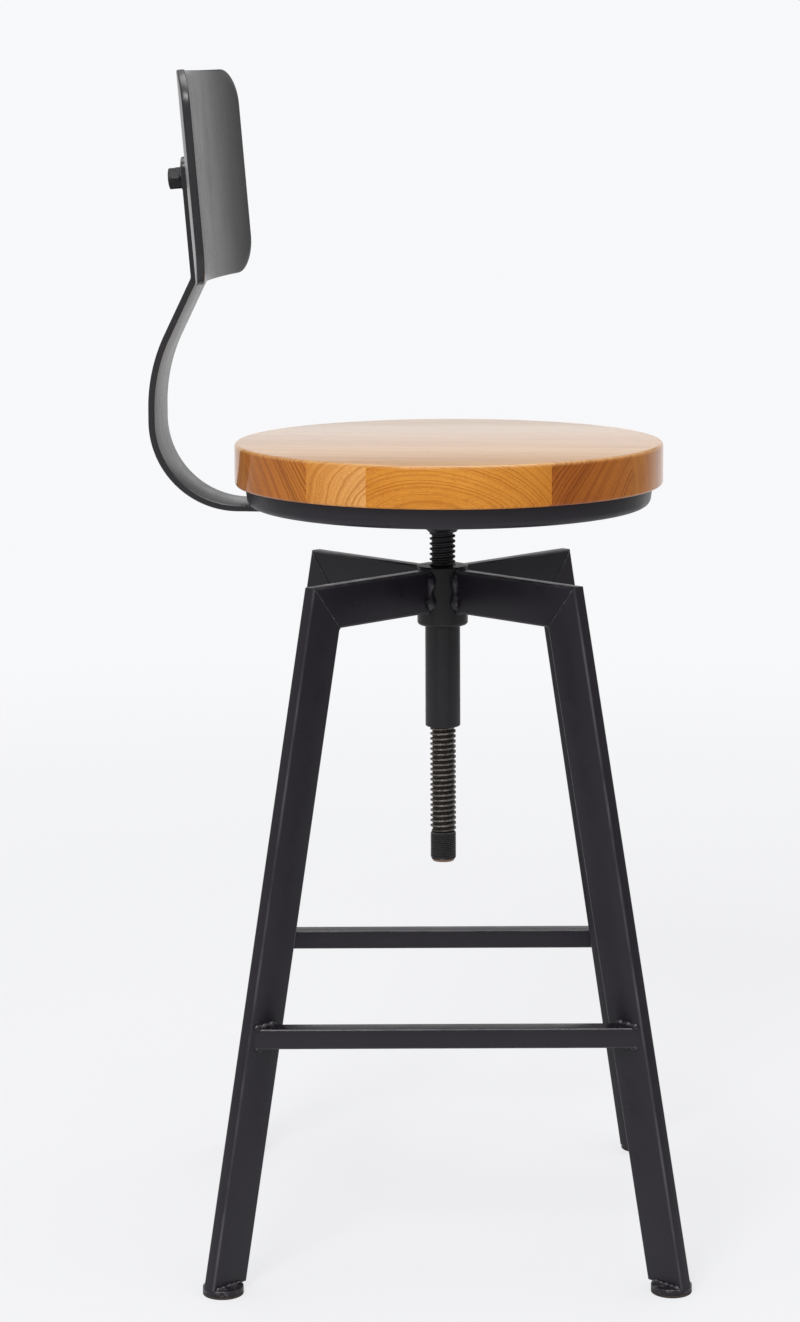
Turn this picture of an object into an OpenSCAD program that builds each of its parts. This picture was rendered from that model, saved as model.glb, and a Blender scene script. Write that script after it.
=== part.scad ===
// Swivel bar stool with a screw-lift seat: a square four-legged steel frame carries a threaded
// sleeve, and the seat with its pan, back strip and backrest turns up and down on a screw.
// Millimetres, +Z up. The origin is on the floor under the screw, the seat faces +X,
// the sitter's left is +Y, and the rest pose is the one in the photograph.

/* [Seat board] */
// Diameter of the wooden seat
seat_d = 328; // [316:1:340]
// Thickness of the board that shows above the pan
seat_t = 32; // [26:1:38]
// Height of the seat's top above the floor
seat_h = 611; // [560:1:680]
// How far the seat's middle sits forward of the screw
seat_forward = 5; // [0:0.5:8]
// Turn of the seat on its screw in the rest pose, in degrees
seat_turn = -7; // [-45:1:45]
// Part of the seat's diameter that one glued stave of the board takes
stave_share = 0.184; // [0.18:0.001:0.19]
// Part of the diameter that is left for the first stave, at the sitter's right
first_stave_share = 0.0816; // [0.06:0.001:0.1]
// Rounding of the board's top and bottom edges
seat_edge_r = 2.5; // [1:0.5:4]

/* [Seat pan] */
// How far the pan's side lies inside the seat's edge
pan_inset = 8; // [6:0.5:16]
// Height of the pan's side
pan_h = 16; // [14:1:24]
// Sheet thickness of the pan
pan_wall = 2; // [1.5:0.5:3]
// Outside radius of the pan's lower edge
pan_edge_r = 6; // [4:0.5:8]
// Distance of the four seat screws from the pan's side
seat_screw_inset = 34; // [26:1:44]

/* [Screw and nut] */
// Major diameter of the lifting screw
screw_d = 20; // [18:0.5:22]
// Pitch of the lifting thread
screw_pitch = 4; // [3:0.5:5]
// Depth of the lifting thread
thread_depth = 1.8; // [1:0.1:2]
// Length of the screw below the pan
screw_l = 279; // [258:1:308]
// Length of the fine thread at the lower end
end_thread_l = 21; // [12:1.5:30]
// Pitch of the fine thread
end_thread_pitch = 1.5; // [1:0.5:2]
// Outside diameter of the boss that joins the screw to the pan
flange_d = 32; // [30:1:40]
// Height of that boss
flange_h = 22; // [16:1:26]
// How far the boss stands above the hub in the rest pose
seat_raised = 26; // [25:1:60]
// Radial clearance of the screw in its sleeve and in the boss
running_clearance = 0.1; // [0.05:0.01:0.1]

/* [Hub] */
// Outside diameter of the hub collar
hub_d = 39; // [36:1:46]
// Height of the hub collar
hub_h = 46; // [42:1:50]
// Outside diameter of the threaded sleeve
sleeve_d = 27; // [25:1:30]
// Length of the threaded sleeve
sleeve_l = 125; // [110:1:140]

/* [Base frame] */
// Wide side of the flat-sided tube of the arms and legs
tube_w = 33; // [30:1:36]
// Narrow side of that tube
tube_t = 11; // [10:1:14]
// Wall of that tube
tube_wall = 1.5; // [1:0.1:1.5]
// Corner radius of that tube
tube_r = 2; // [1.6:0.1:3]
// How far the arms' top lies below the collar's top
arm_drop = 2; // [1:0.5:5]
// Distance of each elbow's outer corner from the screw
elbow_reach = 141; // [134:1:148]
// Distance of each leg's outer face from the screw, at the floor
foot_reach = 249; // [235:1:260]

/* [Footrest] */
// Side of the square footrest tube
bar_w = 15; // [12:1:18]
// Wall of the footrest tube
bar_wall = 1.2; // [1:0.1:1.2]
// Corner radius of the footrest tube
bar_r = 1.5; // [1.3:0.1:3]
// Height of the footrest's underside above the floor
bar_z = 178; // [150:1:220]
// How far the footrest tubes sit outside the middle of the legs' wide side
bar_out = 4.5; // [-1:0.5:5]

/* [Feet] */
// Diameter of the round feet
foot_d = 30; // [28:1:38]
// Thickness of the steel foot plate
foot_plate_t = 4; // [3:0.5:6]
// Thickness of the pad under it
foot_pad_t = 2; // [1:0.5:3]

/* [Back strip] */
// Width of the flat bar that carries the backrest
strip_w = 54; // [48:1:60]
// Thickness of the flat bar
strip_t = 5; // [4:0.5:6]
// Distance of the bar's rearmost face from the screw
strip_reach = 223.5; // [216:0.5:232]
// Outside radius of the lower bend
strip_low_r = 68.5; // [60:0.5:78]
// Outside radius of the upper bend
strip_up_r = 130; // [118:1:142]
// Angle through which the upper bend brings the bar forward
strip_up_angle = 25.8; // [22:0.2:30]
// Length of the straight bar between the upper bend and the kink
strip_neck_l = 47; // [40:0.5:52]
// Height of the upright stretch between the two bends
strip_rise = 10; // [4:1:16]
// Inside radius of the kink under the backrest
strip_kink_r = 6; // [4:0.5:8]
// Length of the straight bar behind the backrest
strip_top_l = 90.5; // [84:0.5:98]
// Corner radius at the bar's top end
strip_end_r = 9; // [4:1:12]
// Distance from the screw to the bar's inner end under the pan
strip_inner = 45; // [30:1:80]

/* [Backrest] */
// Width of the backrest plate, straight across
back_w = 212; // [190:1:236]
// Height of the backrest plate
back_h = 161; // [146:1:176]
// Thickness of the backrest plate
back_t = 6; // [4:0.5:8]
// Depth of the backrest's curve
back_sag = 16; // [12:1:24]
// Corner radius of the backrest plate
back_corner_r = 28; // [15:1:40]
// Lean of the backrest from the vertical, in degrees
back_lean = 4.8; // [2:0.1:8]
// Distance of the backrest's middle below the bar's top end
back_below_end = 15.5; // [12:0.5:22]
// Distance of the nuts below the bar's top end
bolt_below_end = 16; // [14:1:24]
// Distance between the two studs
bolt_spacing = 26; // [22:1:30]
// Diameter of the studs
bolt_d = 10; // [8:1:10]

/* [Hidden] */
smooth = 96;
round_fn = 48;
black_coat = [0.10, 0.10, 0.11];
bare_steel = [0.42, 0.40, 0.37];
oiled_wood = [0.80, 0.57, 0.31];
foot_brown = [0.16, 0.12, 0.10];
far = 600;
over = 1;
snug_gap = 0.05;
body_gap = 0.3;
hole_room = 0.5;

seat_bottom_z = seat_h - seat_t;
pan_bottom_z = seat_bottom_z - pan_h;
stave_w = stave_share * seat_d;
stave_first = seat_d / 2 - first_stave_share * seat_d;
pan_d = seat_d - 2 * pan_inset;
seat_screw_circle = pan_d / 2 - seat_screw_inset;
flange_bottom_z = pan_bottom_z - flange_h;
flange_cone_h = 3.3;
flange_flat = 1;
hub_top_z = flange_bottom_z - seat_raised;
sleeve_bottom_z = hub_top_z - sleeve_l;
arm_top_z = hub_top_z - arm_drop;
screw_bottom_z = pan_bottom_z - screw_l;
sleeve_bore_d = screw_d + 2 * running_clearance;

screw_r = screw_d / 2;
root_r = screw_r - thread_depth;
end_thread_inset = 0.1;
end_thread_r = screw_r - end_thread_inset;
end_thread_depth = 0.7;
end_chamfer = 1.8;
root_flat = 1.2;
crest_flat = 1.1;
flank_h = (screw_pitch - root_flat - crest_flat) / 2;
end_rings = floor(end_thread_l / end_thread_pitch);
thread_start_z = screw_bottom_z + end_chamfer + end_rings * end_thread_pitch;
thread_rings = floor((flange_bottom_z - thread_start_z) / screw_pitch);
thread_end_z = thread_start_z + thread_rings * screw_pitch;

leg_lean = atan((foot_reach - elbow_reach) / arm_top_z);
leg_bottom_z = foot_pad_t + foot_plate_t;
leg_depth = tube_w / cos(leg_lean);
mitre = (90 - leg_lean) / 2;
foot_centre = foot_reach - leg_bottom_z * tan(leg_lean) - foot_d / 2;
bar_mid_z = bar_z + bar_w / 2;
bar_centre = (foot_reach - bar_mid_z * tan(leg_lean) - leg_depth / 2) * cos(45) + bar_out;

strip_bottom_z = pan_bottom_z - strip_t;
low_bend = [strip_reach - strip_low_r, strip_bottom_z + strip_low_r];
up_bend = [strip_reach - strip_up_r, low_bend[1] + strip_rise];
neck_dir = [-sin(strip_up_angle), cos(strip_up_angle)];
neck_out = [cos(strip_up_angle), sin(strip_up_angle)];
neck_foot = up_bend + strip_up_r * neck_out;
neck_top = neck_foot + strip_neck_l * neck_dir;
kink = neck_top + strip_kink_r * neck_out;
lean_dir = [sin(back_lean), cos(back_lean)];
lean_out = [cos(back_lean), -sin(back_lean)];
straight_foot = kink - strip_kink_r * lean_out;
straight_top = straight_foot + strip_top_l * lean_dir;

low_bend_steps = 36;
up_bend_steps = 14;
kink_steps = 8;

back_r = (pow(back_w / 2, 2) + pow(back_sag, 2)) / (2 * back_sag);
plate_gap = 0.1;
back_axis_x = plate_gap + back_t + back_r;
nut_flats = 1.6 * bolt_d;
nut_h = 0.96 * bolt_d;
washer_d = 2 * bolt_d;
washer_t = 2;
nut_chamfer = 0.8;
stud_tip = 0.3;
stud_out = washer_t + nut_h + stud_tip;
seat_screw_d = 4.5;
seat_screw_head_d = 10;
seat_screw_head_h = 2.5;
seat_screw_l = 29;
stave_count = 6;

// A rectangle with round corners, centred on the origin
module round_rect(w, h, r) {
    square([w, h - 2 * r], center = true);
    square([w - 2 * r, h], center = true);
    for (sx = [-1, 1], sy = [-1, 1])
        translate([sx * (w / 2 - r), sy * (h / 2 - r)])
            circle(r = r, $fn = round_fn);
}

// The section of a tube with round corners
module tube_section(w, h, r, wall) {
    difference() {
        round_rect(w, h, r);
        round_rect(w - 2 * wall, h - 2 * wall, r - wall);
    }
}

// The half space on one side of the mitre plane, side = 1 is the leg's side
module mitre_side(side) {
    translate([elbow_reach, 0, arm_top_z])
        rotate([0, mitre, 0])
            translate([side > 0 ? 0 : -far, -tube_t, -far])
                cube([far, 2 * tube_t, 2 * far]);
}

// Hub
module hub_collar() {
    edge_r = 2.5;
    color(black_coat)
        translate([0, 0, hub_top_z - hub_h])
            rotate_extrude($fn = smooth)
                difference() {
                    union() {
                        translate([0, edge_r])
                            square([hub_d / 2, hub_h - edge_r]);
                        square([hub_d / 2 - edge_r, hub_h]);
                        translate([hub_d / 2 - edge_r, edge_r])
                            circle(r = edge_r, $fn = round_fn);
                    }
                    translate([-over, -over])
                        square([over + sleeve_d / 2 + snug_gap, hub_h + 2 * over]);
                }
}

module nut_sleeve() {
    color(black_coat)
        translate([0, 0, sleeve_bottom_z])
            difference() {
                cylinder(d = sleeve_d, h = sleeve_l, $fn = smooth);
                translate([0, 0, -over])
                    cylinder(d = sleeve_bore_d, h = sleeve_l + 2 * over, $fn = smooth);
            }
}

// Frame tubes, each drawn along +X and turned to its own corner
module arm(corner) {
    color(black_coat)
        rotate(corner)
            difference() {
                translate([0, 0, arm_top_z - tube_w / 2])
                    rotate([90, 0, 90])
                        linear_extrude(elbow_reach)
                            tube_section(tube_t, tube_w, tube_r, tube_wall);
                mitre_side(1);
                translate([0, 0, arm_top_z - tube_w - over])
                    cylinder(d = hub_d, h = tube_w + 2 * over, $fn = smooth);
            }
}

module leg(corner) {
    color(black_coat)
        rotate(corner)
            difference() {
                translate([elbow_reach, 0, arm_top_z])
                    rotate([0, -leg_lean, 0])
                        translate([-tube_w / 2, 0, -far])
                            linear_extrude(far + tube_w)
                                tube_section(tube_w, tube_t, tube_r, tube_wall);
                mitre_side(-1);
                translate([0, -far / 2, leg_bottom_z - far])
                    cube([far, far, far]);
            }
}

module foot_plate(corner) {
    color(black_coat)
        rotate(corner)
            translate([foot_centre, 0, foot_pad_t])
                cylinder(d = foot_d, h = foot_plate_t, $fn = smooth);
}

module foot_pad(corner) {
    color(foot_brown)
        rotate(corner)
            translate([foot_centre, 0, 0])
                cylinder(d = foot_d, h = foot_pad_t, $fn = smooth);
}

// One footrest tube, drawn on the -Y side and turned to its own side
module footrest_bar(side) {
    near = bar_centre - bar_w / 2;
    beyond = bar_centre + bar_w / 2;
    leg_face = tube_t / sqrt(2);
    color(black_coat)
        rotate(side)
            intersection() {
                translate([-bar_centre, -bar_centre, bar_mid_z])
                    rotate([90, 0, 90])
                        linear_extrude(2 * bar_centre)
                            tube_section(bar_w, bar_w, bar_r, bar_wall);
                translate([0, 0, bar_z - over])
                    linear_extrude(bar_w + 2 * over)
                        polygon([
                            [leg_face - beyond, -beyond],
                            [beyond - leg_face, -beyond],
                            [near - leg_face, -near],
                            [leg_face - near, -near]
                        ]);
            }
}

// Screw
module screw_boss() {
    top_z = pan_bottom_z - body_gap;
    color(black_coat)
        rotate_extrude($fn = smooth)
            polygon([
                [sleeve_bore_d / 2, flange_bottom_z],
                [screw_r + flange_flat, flange_bottom_z],
                [flange_d / 2, flange_bottom_z + flange_cone_h],
                [flange_d / 2, top_z],
                [sleeve_bore_d / 2, top_z]
            ]);
}

// Outline of the screw's side from the fine thread to the boss
function fine_ring(i) = let (z = screw_bottom_z + end_chamfer + i * end_thread_pitch) [
    [end_thread_r, z],
    [end_thread_r - end_thread_depth, z + end_thread_pitch / 2]
];
function thread_ring(i) = let (z = thread_start_z + i * screw_pitch) [
    [root_r, z],
    [root_r, z + root_flat],
    [screw_r, z + root_flat + flank_h],
    [screw_r, z + root_flat + flank_h + crest_flat]
];

module lifting_screw() {
    fine = [for (i = [0 : end_rings - 1]) each fine_ring(i)];
    coarse = [for (i = [0 : thread_rings - 1]) each thread_ring(i)];
    color(bare_steel)
        rotate_extrude($fn = smooth)
            polygon(concat(
                [[0, screw_bottom_z], [end_thread_r - end_chamfer, screw_bottom_z]],
                fine,
                [[end_thread_r, thread_start_z]],
                coarse,
                [[root_r, thread_end_z], [screw_r, thread_end_z + flank_h]],
                [[screw_r, pan_bottom_z], [0, pan_bottom_z]]
            ));
}

// Everything above the screw turns with the seat
module in_seat() {
    rotate(seat_turn)
        children();
}

module at_seat_screws(i) {
    in_seat()
        translate([seat_forward, 0, 0])
            rotate(45 + 90 * i)
                translate([seat_screw_circle, 0, 0])
                    children();
}

// Half section of a dish: a disc with a rounded lower edge
module dish_half(r, h, edge_r) {
    translate([0, edge_r])
        square([r, h - edge_r]);
    square([r - edge_r, h]);
    translate([r - edge_r, edge_r])
        circle(r = edge_r, $fn = round_fn);
}

module seat_pan() {
    color(black_coat)
        difference() {
            in_seat()
                translate([seat_forward, 0, pan_bottom_z])
                    rotate_extrude($fn = smooth)
                        intersection() {
                            difference() {
                                dish_half(pan_d / 2, pan_h, pan_edge_r);
                                translate([0, pan_wall])
                                    dish_half(pan_d / 2 - pan_wall, pan_h, pan_edge_r - pan_wall);
                            }
                            square([pan_d, pan_h]);
                        }
            for (i = [0 : 3])
                at_seat_screws(i)
                    translate([0, 0, pan_bottom_z - over])
                        cylinder(d = seat_screw_d + 2 * hole_room, h = pan_wall + 2 * over, $fn = round_fn);
        }
}

// The whole board: its shown disc, and the step that sits inside the pan
module seat_board() {
    step_r = pan_d / 2 - pan_wall - body_gap;
    difference() {
        translate([seat_forward, 0, 0])
            rotate_extrude($fn = 2 * smooth)
                union() {
                    translate([0, seat_bottom_z + seat_edge_r])
                        square([seat_d / 2, seat_t - 2 * seat_edge_r]);
                    translate([0, seat_bottom_z])
                        square([seat_d / 2 - seat_edge_r, seat_t]);
                    for (z = [seat_bottom_z + seat_edge_r, seat_h - seat_edge_r])
                        translate([seat_d / 2 - seat_edge_r, z])
                            circle(r = seat_edge_r, $fn = round_fn);
                    polygon([
                        [0, pan_bottom_z + pan_wall],
                        [step_r - pan_edge_r, pan_bottom_z + pan_wall],
                        [step_r, pan_bottom_z + pan_wall + pan_edge_r],
                        [step_r, seat_bottom_z + seat_edge_r],
                        [0, seat_bottom_z + seat_edge_r]
                    ]);
                }
        rotate(-seat_turn)
            for (i = [0 : 3])
                at_seat_screws(i)
                    translate([0, 0, pan_bottom_z])
                        cylinder(d = seat_screw_d + 2 * snug_gap, h = seat_screw_l + over, $fn = round_fn);
    }
}

// One stave of the board, which runs from back to front; the first is the sitter's right
module seat_stave(i) {
    y0 = i == 1 ? -far : (i - 2) * stave_w - stave_first;
    y1 = i == stave_count ? far : (i - 1) * stave_w - stave_first;
    color(oiled_wood)
        in_seat()
            intersection() {
                seat_board();
                translate([-far / 2, y0, 0])
                    cube([far, y1 - y0, 2 * far]);
            }
}

module seat_screw(i) {
    color(bare_steel)
        at_seat_screws(i) {
            translate([0, 0, pan_bottom_z])
                cylinder(d = seat_screw_d, h = seat_screw_l, $fn = round_fn);
            translate([0, 0, pan_bottom_z - seat_screw_head_h])
                cylinder(d = seat_screw_head_d, h = seat_screw_head_h, $fn = round_fn);
        }
}

// Points of a bend in the strip's side view, between two angles around its centre
function bend(centre, r, from, to, steps) = [
    for (i = [0 : steps])
        let (a = from + (to - from) * i / steps)
            centre + r * [cos(a), sin(a)]
];

// The line that runs along the bar at a depth inside its outer face, from the pan to the top end
function strip_line(depth) = concat(
    [[strip_inner, strip_bottom_z + depth]],
    bend(low_bend, strip_low_r - depth, -90, 0, low_bend_steps),
    bend(up_bend, strip_up_r - depth, 0, strip_up_angle, up_bend_steps),
    bend(kink, strip_kink_r + depth, 180 + strip_up_angle, 180 - back_lean, kink_steps),
    [straight_top - depth * lean_out]
);

module strip_side() {
    inner = strip_line(strip_t);
    last = len(inner) - 1;
    polygon(concat(strip_line(0), [for (i = [0 : last]) inner[last - i]]));
}

// The bar's front face at its top end: X forward, Z up along the bar
module at_strip_top() {
    in_seat()
        translate([-straight_top[0], 0, straight_top[1]])
            rotate([0, -back_lean, 0])
                translate([strip_t, 0, 0])
                    children();
}

// What is cut off a square corner to round it, along X
module corner_cut(r, depth) {
    rotate([90, 0, 90])
        linear_extrude(depth, center = true)
            difference() {
                square(r + over);
                circle(r = r, $fn = smooth);
            }
}

module back_strip() {
    color(black_coat)
        difference() {
            in_seat()
                rotate([90, 0, 180])
                    linear_extrude(strip_w, center = true)
                        strip_side();
            at_strip_top() {
                for (side = [-1, 1])
                    translate([0, side * (strip_w / 2 - strip_end_r), -strip_end_r])
                        mirror([0, side < 0 ? 1 : 0, 0])
                            corner_cut(strip_end_r, 4 * strip_t);
                for (side = [-1, 1])
                    translate([-2 * strip_t, side * bolt_spacing / 2, -bolt_below_end])
                        rotate([0, 90, 0])
                            cylinder(d = bolt_d + 2 * hole_room, h = 4 * strip_t, $fn = round_fn);
            }
        }
}

// The plate is a piece of a round wall around an upright line in front of it,
// cut to its outline straight along the seat's axis
module backrest_plate() {
    color(black_coat)
        at_strip_top()
            intersection() {
                translate([back_axis_x, 0, -back_below_end - back_h / 2])
                    difference() {
                        cylinder(r = back_r + back_t, h = back_h, $fn = 4 * smooth);
                        translate([0, 0, -over])
                            cylinder(r = back_r, h = back_h + 2 * over, $fn = 4 * smooth);
                    }
                translate([plate_gap - back_t, 0, -back_below_end])
                    rotate([90, 0, 90])
                        linear_extrude(back_sag + 3 * back_t)
                            round_rect(back_w, back_h, back_corner_r);
            }
}

// The studs, washers and nuts are drawn about X, which runs out of the bar's back
module at_bolt(side) {
    at_strip_top()
        translate([-strip_t, side * bolt_spacing / 2, -bolt_below_end])
            rotate([0, -90, 0])
                children();
}

module backrest_stud(side) {
    color(bare_steel)
        difference() {
            at_bolt(side)
                translate([0, 0, -strip_t - back_t])
                    cylinder(d = bolt_d, h = strip_t + back_t + stud_out, $fn = round_fn);
            at_strip_top()
                translate([back_axis_x, 0, -far / 2])
                    cylinder(r = back_r + back_t, h = far, $fn = 4 * smooth);
        }
}

module backrest_washer(side) {
    color(black_coat)
        at_bolt(side)
            difference() {
                cylinder(d = washer_d, h = washer_t, $fn = round_fn);
                translate([0, 0, -over])
                    cylinder(d = bolt_d + hole_room, h = washer_t + 2 * over, $fn = round_fn);
            }
}

module backrest_nut(side) {
    corner_d = nut_flats / cos(30);
    color(black_coat)
        at_bolt(side)
            translate([0, 0, washer_t])
                difference() {
                    intersection() {
                        rotate(30)
                            cylinder(d = corner_d, h = nut_h, $fn = 6);
                        rotate_extrude($fn = round_fn)
                            polygon([
                                [0, 0],
                                [corner_d / 2 + over, 0],
                                [corner_d / 2 + over, nut_h - nut_chamfer - over / 2],
                                [nut_flats / 2 - nut_chamfer / 2, nut_h],
                                [0, nut_h]
                            ]);
                    }
                    translate([0, 0, -over])
                        cylinder(d = bolt_d + 2 * snug_gap, h = nut_h + 2 * over, $fn = round_fn);
                }
}

hub_collar();
nut_sleeve();
arm(45);  // arm_front_left
arm(135);  // arm_back_left
arm(225);  // arm_back_right
arm(315);  // arm_front_right
leg(45);  // leg_front_left
leg(135);  // leg_back_left
leg(225);  // leg_back_right
leg(315);  // leg_front_right
footrest_bar(0);  // footrest_bar_right
footrest_bar(90);  // footrest_bar_front
footrest_bar(180);  // footrest_bar_left
footrest_bar(270);  // footrest_bar_back
foot_plate(45);  // foot_plate_front_left
foot_plate(135);  // foot_plate_back_left
foot_plate(225);  // foot_plate_back_right
foot_plate(315);  // foot_plate_front_right
foot_pad(45);  // foot_pad_front_left
foot_pad(135);  // foot_pad_back_left
foot_pad(225);  // foot_pad_back_right
foot_pad(315);  // foot_pad_front_right
screw_boss();
lifting_screw();
seat_pan();
seat_stave(1);  // seat_stave_1
seat_stave(2);  // seat_stave_2
seat_stave(3);  // seat_stave_3
seat_stave(4);  // seat_stave_4
seat_stave(5);  // seat_stave_5
seat_stave(6);  // seat_stave_6
seat_screw(0);  // seat_screw_front_left
seat_screw(1);  // seat_screw_back_left
seat_screw(2);  // seat_screw_back_right
seat_screw(3);  // seat_screw_front_right
back_strip();
backrest_plate();
backrest_stud(1);  // backrest_stud_left
backrest_stud(-1);  // backrest_stud_right
backrest_washer(1);  // backrest_washer_left
backrest_washer(-1);  // backrest_washer_right
backrest_nut(1);  // backrest_nut_left
backrest_nut(-1);  // backrest_nut_right
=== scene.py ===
"""The looks of a swivel bar stool with a screw lift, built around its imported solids.

Lengths in the tables and functions are millimetres and become metres when a mesh is written.
The seat group is drawn facing +X and then turned by SEAT_TURN about the screw.
"""
import math

import bmesh
import bpy
import numpy as np
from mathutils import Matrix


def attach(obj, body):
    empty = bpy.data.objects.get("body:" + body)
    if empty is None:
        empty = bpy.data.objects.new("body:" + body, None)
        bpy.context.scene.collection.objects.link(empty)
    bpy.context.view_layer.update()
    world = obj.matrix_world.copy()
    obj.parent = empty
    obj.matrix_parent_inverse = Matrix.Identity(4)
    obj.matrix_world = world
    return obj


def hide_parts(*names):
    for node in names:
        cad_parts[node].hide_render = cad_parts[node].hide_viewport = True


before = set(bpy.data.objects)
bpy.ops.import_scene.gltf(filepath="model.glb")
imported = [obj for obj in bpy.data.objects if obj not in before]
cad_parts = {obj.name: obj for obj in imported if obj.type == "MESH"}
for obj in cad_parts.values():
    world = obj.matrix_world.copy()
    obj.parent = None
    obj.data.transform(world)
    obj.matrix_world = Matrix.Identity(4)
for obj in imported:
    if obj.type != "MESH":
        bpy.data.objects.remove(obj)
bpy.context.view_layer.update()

MM = 0.001
TAU = 2 * math.pi

# Meshes: distances in metres that count as none, and how finely the tubes are divided
SAME_PLACE = 2e-6
NO_LENGTH = 1e-7
CORNER_STEPS = 6
LEG_ROWS = 24
ARM_ROWS = 10
BAR_ROWS = 16

# Seat
SEAT_R = 164.0
SEAT_TOP = 611.0
SEAT_BOTTOM = 579.0
SEAT_EDGE_R = 2.5
SEAT_FORWARD = 5.0
SEAT_TURN = math.radians(-7)
STAVE_W = 0.184 * 2 * SEAT_R
FIRST_JOINT = 0.0816 * 2 * SEAT_R - SEAT_R
STAVES = 6

# Pan, boss and screw
PAN_R = 156.0
PAN_BOTTOM = 563.0
PAN_EDGE_R = 6.0
PAN_WALL = 2.0
BOSS_R = 16.0
BOSS_BOTTOM = 541.0
SCREW_R = 10.0
SCREW_ROOT = 8.2
SCREW_BOTTOM = 284.0
THREAD_START = 306.8
PITCH = 4.0
END_PITCH = 1.5
SEAT_SCREW_CIRCLE = 122.0

# Hub and frame tubes
HUB_R = 19.5
HUB_TOP = 515.0
HUB_BOTTOM = 469.0
SLEEVE_R = 13.5
SLEEVE_BOTTOM = 390.0
BORE_R = 10.1
TUBE_W = 33.0
TUBE_T = 11.0
TUBE_R = 2.0
ARM_TOP = 513.0
ELBOW = 141.0
FOOT = 249.0
LEAN = math.atan((FOOT - ELBOW) / ARM_TOP)
MITRE = (math.pi / 2 - LEAN) / 2
BAR_W = 15.0
BAR_R = 1.5
BAR_Z = 178.0
BAR_OUT = 4.5
PAD_T = 2.0
PLATE_T = 4.0
FOOT_R = 15.0
LEG_BOTTOM = PAD_T + PLATE_T
LEG_DEPTH = TUBE_W / math.cos(LEAN)
FOOT_CENTRE = FOOT - LEG_BOTTOM * math.tan(LEAN) - FOOT_R
BAR_MID = BAR_Z + BAR_W / 2
BAR_CENTRE = (FOOT - BAR_MID * math.tan(LEAN) - LEG_DEPTH / 2) * math.cos(math.pi / 4) + BAR_OUT
CORNERS = {"front_left": 45, "back_left": 135, "back_right": 225, "front_right": 315}
SIDES = {"right": 0, "front": 90, "left": 180, "back": 270}

# Back strip and backrest
STRIP_W = 54.0
STRIP_T = 5.0
STRIP_REACH = 223.5
STRIP_BOTTOM = PAN_BOTTOM - STRIP_T
LOW_R = 68.5
UP_R = 130.0
UP_ANGLE = math.radians(25.8)
NECK_L = 47.0
STRIP_RISE = 10.0
KINK_R = 6.0
STRIP_TOP_L = 90.5
STRIP_END_R = 9.0
STRIP_INNER = 45.0
BACK_LEAN = math.radians(4.8)
BACK_W = 212.0
BACK_H = 161.0
BACK_T = 6.0
BACK_SAG = 16.0
BACK_CORNER = 28.0
BACK_SOFT = 1.2
BACK_BELOW_END = 15.5
BACK_GAP = 0.1
BACK_R = ((BACK_W / 2) ** 2 + BACK_SAG ** 2) / (2 * BACK_SAG)
BOLT_BELOW_END = 16.0
BOLT_SPACING = 26.0
NUT_FLATS = 16.0
NUT_H = 9.6
NUT_BORE = 5.05
WASHER_T = 2.0


# Meshes

def grid(points, wrap_rows=False, wrap_columns=False):
    """A sheet of quads over points in rows and columns; either way it may close on itself."""
    rows, columns = points.shape[:2]
    i = np.arange(rows if wrap_rows else rows - 1)
    j = np.arange(columns if wrap_columns else columns - 1)
    i, j = np.meshgrid(i, j, indexing="ij")
    i2, j2 = (i + 1) % rows, (j + 1) % columns
    quads = np.stack([i * columns + j, i2 * columns + j, i2 * columns + j2, i * columns + j2], -1)
    return points.reshape(-1, 3), quads.reshape(-1, 4).tolist()


def capped(points):
    """A tube of quads, each row a closed ring; one flat face closes the first row and one the last."""
    verts, faces = grid(points, wrap_columns=True)
    rows, columns = points.shape[:2]
    faces.append(list(range(columns)))
    faces.append(list(range((rows - 1) * columns, rows * columns)))
    return verts, faces


def shell(*sheets):
    """Several sheets as one; each sheet's faces are counted on from the points of those before it."""
    verts, faces, base = [], [], 0
    for v, f in sheets:
        verts.append(v)
        faces += [[k + base for k in face] for face in f]
        base += len(v)
    return np.vstack(verts), faces


def turned(points, degrees):
    """Points turned about Z by an angle a: x cos a - y sin a, then x sin a + y cos a, and the same z."""
    a = math.radians(degrees)
    c, s = math.cos(a), math.sin(a)
    return points @ np.array([[c, s, 0.0], [-s, c, 0.0], [0.0, 0.0, 1.0]])


def in_seat(points):
    """Points of the seat group, drawn facing +X, turned about Z to where the seat stands at rest."""
    return turned(points, math.degrees(SEAT_TURN))


def piece(name, shells, material, body, nodes=(), sharp=32, rubbed_and_sheen=None):
    """One object from closed shells in millimetres, with its doubles merged and its faces outwards.

    Edges that bend by more than sharp degrees stay hard. rubbed_and_sheen holds, for each point, how far its
    paint is rubbed thin by handling and carries a painted highlight, from 0 to 1.
    """
    verts, faces = shell(*shells)
    mesh = bpy.data.meshes.new(name)
    mesh.from_pydata((verts * MM).tolist(), [], faces)
    if rubbed_and_sheen is not None:
        mesh.attributes.new("rubbed_and_sheen", "FLOAT", "POINT").data.foreach_set("value", rubbed_and_sheen)
    build = bmesh.new()
    build.from_mesh(mesh)
    bmesh.ops.remove_doubles(build, verts=build.verts, dist=SAME_PLACE)
    bmesh.ops.dissolve_degenerate(build, edges=build.edges, dist=NO_LENGTH)
    bmesh.ops.recalc_face_normals(build, faces=build.faces)
    build.to_mesh(mesh)
    build.free()
    mesh.polygons.foreach_set("use_smooth", [True] * len(mesh.polygons))
    mesh.set_sharp_from_angle(angle=math.radians(sharp))
    mesh.materials.append(material)
    thing = bpy.data.objects.new(name, mesh)
    bpy.context.scene.collection.objects.link(thing)
    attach(thing, body)
    if nodes:
        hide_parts(*nodes)


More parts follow.
